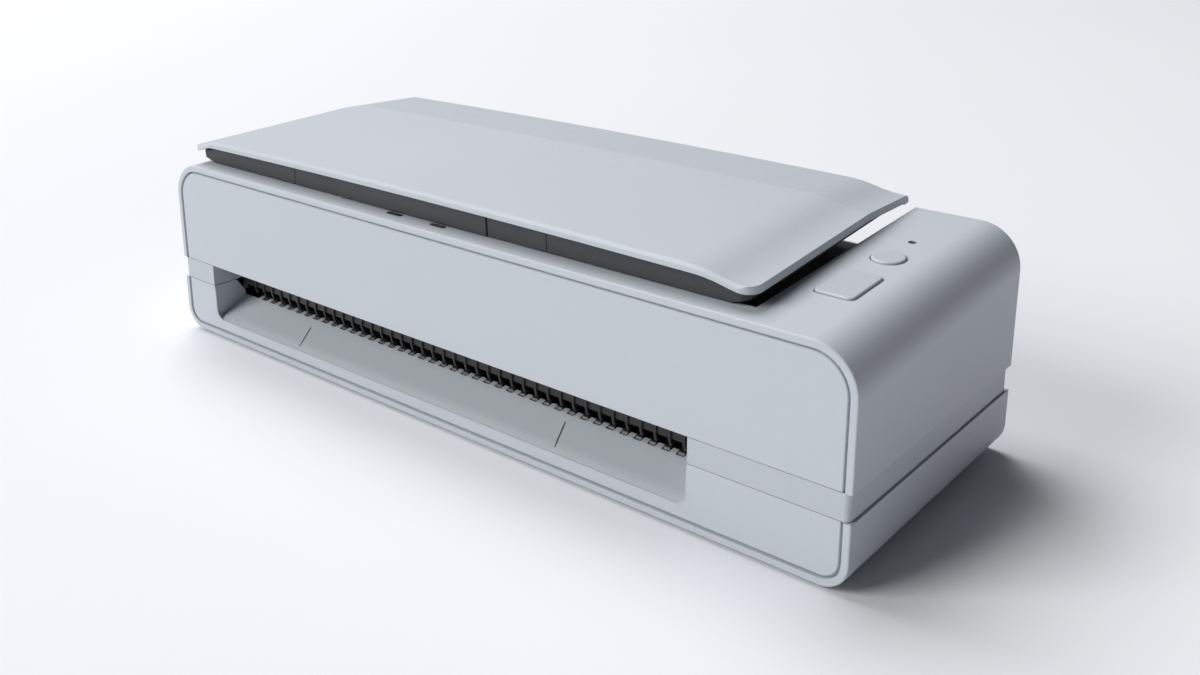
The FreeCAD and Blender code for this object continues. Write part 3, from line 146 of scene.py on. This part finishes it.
def moulded(name, colour, rough=0.5, grain=0.12, grains_per_metre=2600, drift=0.05, edge=0.0004, worn=0.10):
    f = Finish(name)
    soft, edges = soft_edges(f, edge)
    cloud = f.noise(9, 3)
    dust = f.noise(420, 2)
    pale = [min(1, c * (1 + drift)) for c in colour]
    deep = [c * (1 - drift) for c in colour]
    body = f.tone((cloud * 0.75 + dust * 0.25).limited(), deep, pale)
    rubbed = [min(1, c + worn * (1 - c) * 0.5) for c in colour]
    grains = f.noise(grains_per_metre, 2)
    bump = f.node("ShaderNodeBump", {},
                  {"Strength": grain, "Distance": grain_depth, "Height": grains, "Normal": soft})
    return f.wear(Base_Color=f.tone(edges * 0.6, body, rubbed), Normal=bump,
                  Roughness=(rough + (dust - 0.5) * 0.12 - edges * 0.08).limited())

plastics = {
    "pale_casing": moulded("pale_casing", (0.56, 0.60, 0.64), 0.50, 0.14),
    "band_plastic": moulded("band_plastic", (0.52, 0.56, 0.60), 0.46, 0.10),
    "button_plastic": moulded("button_plastic", (0.54, 0.58, 0.62), 0.42, 0.06, drift=0.03),
    "dark_plastic": moulded("dark_plastic", (0.045, 0.047, 0.052), 0.52, 0.16, worn=0.08),
    "guide_plastic": moulded("guide_plastic", (0.016, 0.0145, 0.0135), 0.34, 0.05, worn=0.06),
    "sensor_housing": moulded("sensor_housing", (0.03, 0.03, 0.032), 0.45, 0.12),
    "chip_plastic": moulded("chip_plastic", (0.02, 0.02, 0.022), 0.5, 0.10, edge=0.0002),
    "port_plastic": moulded("port_plastic", (0.02, 0.02, 0.021), 0.4, 0.06, edge=0.0002),
    "bush_plastic": moulded("bush_plastic", (0.05, 0.05, 0.054), 0.38, 0.05, edge=0.0002),
    "idler_plastic": moulded("idler_plastic", (0.70, 0.70, 0.67), 0.36, 0.05, edge=0.0003),
    "gear_plastic": moulded("gear_plastic", (0.72, 0.70, 0.62), 0.36, 0.05, edge=0.0002),
}
print("plastics", sorted(plastics))

# %% [markdown]
# ## Rubber
# The feet, the rollers and the belts are rubber. A roller is ground round, which leaves fine rings about
# its axle, so its bump is noise squeezed hard along X. The feet and belts are dull and even. Dust that
# settles in rubber makes it patchy, so a slow noise lifts the colour.

# %% Rubber, with grinding rings where the piece was ground
def rubber(name, colour, rough, stretch=(1, 1, 1), grains=1500, strength=0.2):
    f = Finish(name)
    patches = f.noise(60, 3)
    body = f.tone((patches * 1.6 - 0.4).limited(), colour, [min(1, c * 1.5 + 0.01) for c in colour])
    bump = f.node("ShaderNodeBump", {},
                  {"Strength": strength, "Distance": grain_depth, "Height": f.noise(grains, 3, stretch)})
    return f.wear(Base_Color=body, Roughness=(rough + (patches - 0.5) * 0.2).limited(), Normal=bump)

rubbers = {
    "rubber_foot": rubber("rubber_foot", (0.02, 0.02, 0.02), 0.8),
    "roller_rubber": rubber("roller_rubber", (0.10, 0.10, 0.108), 0.72, (3, 0.4, 0.4), 900, 0.3),
    "belt_rubber": rubber("belt_rubber", (0.014, 0.014, 0.014), 0.7, (6, 1, 1), 500, 0.4),
}
print("rubbers", sorted(rubbers))

# %% [markdown]
# ## Metal
# Sheet steel parts are zinc plated: bright, slightly blue, with a drawn grain along their length. Shafts
# are ground and polished. One function covers them, with the grain's direction given by how the noise is
# stretched.

# %% Plated and ground steel
def steel(name, colour, rough, stretch):
    f = Finish(name)
    soft, edges = soft_edges(f, 0.0002)
    streaks = f.noise(300, 4, stretch)
    stain = f.noise(25, 3)
    body = f.tone((streaks * 0.6 + stain * 0.4).limited(), [c * 0.86 for c in colour], colour)
    bump = f.node("ShaderNodeBump", {},
                  {"Strength": 0.08, "Distance": polish_depth, "Height": streaks, "Normal": soft})
    f.shader.inputs["Metallic"].default_value = 1.0
    return f.wear(Base_Color=body, Normal=bump,
                  Roughness=(rough + (stain - 0.5) * 0.15 - edges * 0.1).limited())

metals = {
    "plate_steel": steel("plate_steel", (0.60, 0.61, 0.63), 0.36, (0.3, 0.3, 6)),
    "shaft_steel": steel("shaft_steel", (0.66, 0.67, 0.68), 0.22, (0.3, 6, 6)),
    "spring_steel": steel("spring_steel", (0.50, 0.51, 0.53), 0.32, (6, 0.3, 1)),
    "screw_steel": steel("screw_steel", (0.46, 0.46, 0.48), 0.35, (2, 2, 2)),
    "motor_can": steel("motor_can", (0.34, 0.35, 0.37), 0.38, (6, 0.5, 0.5)),
    "port_shell": steel("port_shell", (0.62, 0.63, 0.64), 0.26, (1, 0.3, 1)),
}
print("metals", sorted(metals))

# %% [markdown]
# ## Glass, lamp and circuit board
# The sensors look through clear float glass, which is a smooth, see-through shader with faint dust. The
# lamp is a milky light pipe that is dark when off. The board is green lacquer over copper tracks, and the
# tracks show as thin raised lines, made here by a brick pattern with thin joints.

# %% Clear, milky and lacquered finishes
def clear(name, tint, rough, through):
    f = Finish(name)
    dust = f.noise(240, 3)
    f.shader.inputs["Transmission Weight"].default_value = through
    f.shader.inputs["IOR"].default_value = 1.5
    bump = f.node("ShaderNodeBump", {}, {"Strength": 0.02, "Distance": polish_depth, "Height": dust})
    return f.wear(Base_Color=f.tone(dust * 0.5, tint, [c * 0.9 for c in tint]), Normal=bump,
                  Roughness=rough + dust * 0.08)

tracks_per_metre = 260.0

def lacquered_board(name, colour):
    f = Finish(name)
    tracks = f.node("ShaderNodeTexBrick", {},
                    {"Vector": f.place(), "Scale": tracks_per_metre, "Mortar Size": 0.04}, "Fac")
    cloud = f.noise(30, 3)
    body = f.tone((tracks * 0.7 + cloud * 0.2).limited(), colour, [min(1, c * 1.7 + 0.02) for c in colour])
    bump = f.node("ShaderNodeBump", {}, {"Strength": 0.3, "Distance": polish_depth, "Height": tracks})
    return f.wear(Base_Color=body, Roughness=0.3 + cloud * 0.15, Normal=bump)

others = {
    "sensor_glass": clear("sensor_glass", (0.80, 0.88, 0.86), 0.02, 0.92),
    "lamp_lens": clear("lamp_lens", (0.06, 0.07, 0.08), 0.12, 0.25),
    "board_laminate": lacquered_board("board_laminate", (0.02, 0.11, 0.05)),
}
print("others", sorted(others))

# %% [markdown]
# ## Give every body its finish
# The record says which material slot each body belongs to, so the finishes go on by that name. The CAD
# meshes stay exactly as they are: only the material in their slots changes.

# %% Finishes onto the bodies
finishes = {**plastics, **rubbers, **metals, **others}
for name, body in nodes.items():
    body.data.materials.clear()
    body.data.materials.append(finishes[slot_of[name]])
print("finished", len(nodes), "bodies with", len(finishes), "finishes")

# %% [markdown]
# ## Thin trims on the case
# Five small things are too thin to be worth exact solids: the rounded lip round the mouth of the ramp, two
# guide marks printed on the ramp for the width of a card, and two soft pads under the front of the lid.
# Each is an oval rod, or half of one that shows, so one sweep makes them all. At every point of the path it
# sets a ring of vertices across the path's own direction, which keeps the rod even round a bend, and joins
# each ring to the next. The first and last rings are a little smaller, so the ends look rubbed round.

# %% An oval rod along a path
mm = 0.001
ring_points = 12
end_taper = 0.55

def swept(name, path, radii, up, finish):
    """Rod along path, with an oval section. Its two radii run across the path and along up."""
    across, rise = radii
    mesh = bmesh.new()
    turns = [2 * math.pi * k / ring_points for k in range(ring_points)]
    rings = []
    for i, spot in enumerate(path):
        before, after = path[max(i - 1, 0)], path[min(i + 1, len(path) - 1)]
        side = (after - before).normalized().cross(up).normalized()
        size = end_taper if i in (0, len(path) - 1) else 1.0
        wide, tall = side * across * size, up * rise * size
        rings.append([mesh.verts.new(spot + wide * math.cos(t) + tall * math.sin(t)) for t in turns])
    for low, high in zip(rings, rings[1:]):
        for k in range(ring_points):
            following = (k + 1) % ring_points
            mesh.faces.new((low[k], low[following], high[following], high[k]))
    mesh.faces.new(rings[0][::-1])
    mesh.faces.new(rings[-1])
    bmesh.ops.recalc_face_normals(mesh, faces=mesh.faces)
    data = bpy.data.meshes.new(name)
    mesh.to_mesh(data)
    mesh.free()
    data.shade_smooth()
    data.materials.append(finish)
    piece = bpy.data.objects.new(name, data)
    bpy.context.scene.collection.objects.link(piece)
    return piece

def even_steps(a, b, count):
    return [a.lerp(b, i / count) for i in range(count + 1)]

print("one rod has", ring_points, "points round it")

# %% [markdown]
# The mouth is a rectangle with two rounded lower corners, open at the top, where the band starts. Its path
# goes down the left side, round a corner, along the lip, round the other corner and up. A moulded edge
# there would be a quarter round. A whole rod sunk to just under the face shows the same quarter and catches
# the same highlight.

# %% The lip round the mouth
mouth_left, mouth_right = -128.5 * mm, 97.1 * mm
mouth_top, lip_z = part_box("entry_ramp")[1][2] - 0.5 * mm, 7.7 * mm
mouth_corner, lip_radius = 4.0 * mm, 0.42 * mm
lip_y = -51.92 * mm

def quarter_turn(centre_x, way):
    """Points round a lower corner, between its two ends, from the left one to the right one."""
    points = []
    for step in range(1, 8):
        turn = step / 8 * math.pi / 2
        if way > 0:
            turn = math.pi / 2 - turn
        points.append(Vector((centre_x + way * mouth_corner * math.cos(turn), lip_y,
                              lip_z + mouth_corner * (1 - math.sin(turn)))))
    return points

def mouth_path():
    side_foot = lip_z + mouth_corner
    low_left, low_right = mouth_left + mouth_corner, mouth_right - mouth_corner
    return (even_steps(Vector((mouth_left, lip_y, mouth_top)), Vector((mouth_left, lip_y, side_foot)), 4)
            + quarter_turn(low_left, -1)
            + even_steps(Vector((low_left, lip_y, lip_z)), Vector((low_right, lip_y, lip_z)), 12)
            + quarter_turn(low_right, 1)
            + even_steps(Vector((mouth_right, lip_y, side_foot)), Vector((mouth_right, lip_y, mouth_top)), 4))

lip = swept("mouth_lip", mouth_path(), (lip_radius, lip_radius), Vector((0, 1, 0)), plastics["band_plastic"])
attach(lip, "base")
print("lip", [round(v / mm, 1) for v in lip.dimensions])

# %% [markdown]
# The guide marks are printed ink, so each is a very flat rod that stands a few hundredths of a millimetre
# out of the ramp. Its oval is turned square to the slope, which rises 6.7 mm over 13.8 mm.

# %% The marks on the ramp
ink = moulded("mark_ink", (0.10, 0.105, 0.115), 0.55, 0.05, edge=0.0002, worn=0.05)
slope_up = Vector((0, -6.7, 13.8)).normalized()
mark_ends = {"card_mark_left": ((-79.3, -50.4, 8.62), (-82.9, -41.9, 12.75)),
             "card_mark_right": ((46.0, -50.0, 8.82), (42.9, -41.2, 13.09))}
for name, (near, far) in mark_ends.items():
    path = even_steps(Vector(near) * mm, Vector(far) * mm, 6)
    mark = swept(name, path, (0.3 * mm, 0.06 * mm), slope_up, ink)
    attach(mark, "base")
print("marks", list(mark_ends))

# %% [markdown]
# Two small rubber pads lie on the case, just in front of where the tray comes down. The case's top slopes
# up towards the back, so the pads' height comes from that slope, and their ovals lie flat on it.

# %% Pads under the front of the lid
case_front, case_top, case_rise, case_run = -52.5, 68.8, 6.2, 104.0
pad_y, pad_lift = -46.9, 0.02
slope = case_rise / case_run
case_up = Vector((0, -slope, 1)).normalized()
pad_z = case_top + (pad_y - case_front) * slope + pad_lift
pad_ends = {"lid_pad_left": (-30.3, -23.2), "lid_pad_right": (-9.4, -2.6)}
for name, ends in pad_ends.items():
    left, right = [Vector((x, pad_y, pad_z)) * mm for x in ends]
    pad = swept(name, even_steps(left, right, 8), (0.95 * mm, 0.3 * mm), case_up, rubbers["rubber_foot"])
    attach(pad, "base")
print("pads", list(pad_ends), "height", round(pad_z, 2))

# %% [markdown]
# ## Camera
# The camera stands to the right of the front, a little above the lid, and looks down across the long front
# face. A lens of about 37 mm at this short distance gives the strong convergence of the long edges. The
# small shift keeps the upright edges nearly parallel, as a product photographer does with a view camera.

# %% The camera
camera = bpy.data.objects.new("camera", bpy.data.cameras.new("camera"))
bpy.context.scene.collection.objects.link(camera)
camera.data.sensor_width = 36.0
camera.data.lens = 36.541
camera.data.shift_y = -0.125
camera.location = (0.27164, -0.30423, 0.18696)
turn, down = -0.6847, 0.2730
ahead = Vector((math.sin(turn) * math.cos(down), math.cos(turn) * math.cos(down), -math.sin(down)))
camera.rotation_euler = ahead.to_track_quat("-Z", "Y").to_euler()
camera.data.clip_start = 0.01
bpy.context.scene.camera = camera
print("camera", [round(v, 3) for v in camera.location], "lens", camera.data.lens)

# %% [markdown]
# ## Table and light
# A plain pale table runs out of sight. A large soft light stands well away at the front left, so the long
# front face is bright and the right side falls into shade. A wider one hangs high over the left and lights
# the lid and the table. Both stand several metres off, so their light hardly falls away across the table. A
# very weak sky keeps the slot readable.

# %% The table
def pale_table():
    f = Finish("table_paper")
    f.shader.inputs["Specular IOR Level"].default_value = 0.1
    fibre = f.noise(700, 3)
    bump = f.node("ShaderNodeBump", {}, {"Strength": 0.03, "Distance": grain_depth, "Height": fibre})
    paper = f.tone(f.noise(2, 2), (0.86, 0.87, 0.90), (0.88, 0.89, 0.92))
    return f.wear(Base_Color=paper, Roughness=0.8 + fibre * 0.1, Normal=bump)

def grid_sheet(name, size, steps):
    mesh = bmesh.new()
    bmesh.ops.create_grid(mesh, x_segments=steps, y_segments=steps, size=size)
    data = bpy.data.meshes.new(name)
    mesh.to_mesh(data)
    mesh.free()
    sheet = bpy.data.objects.new(name, data)
    bpy.context.scene.collection.objects.link(sheet)
    return sheet

table = grid_sheet("table", 12.0, 4)
table.data.materials.append(pale_table())
print("table", [round(v, 2) for v in table.dimensions])

# %% The lights
aim = Vector((0, 0, 0.04))

def soft_light(name, place, size, power, tint):
    lamp = bpy.data.lights.new(name, "AREA")
    lamp.size, lamp.energy, lamp.color = size, power, tint
    light = bpy.data.objects.new(name, lamp)
    light.location = place
    light.rotation_euler = (aim - Vector(place)).to_track_quat("-Z", "Y").to_euler()
    bpy.context.scene.collection.objects.link(light)

soft_light("key_light", (-2.3, -3.7, 2.7), 2.6, 178, (1.0, 0.995, 0.99))
soft_light("top_light", (-3.0, 1.0, 5.0), 4.4, 300, (0.985, 0.99, 1.0))
sky = bpy.data.worlds.new("sky")
sky.use_nodes = True
sky.node_tree.nodes["Background"].inputs["Color"].default_value = (0.90, 0.93, 1.0, 1)
sky.node_tree.nodes["Background"].inputs["Strength"].default_value = 0.06
bpy.context.scene.world = sky
bpy.context.scene.view_settings.view_transform = "Standard"
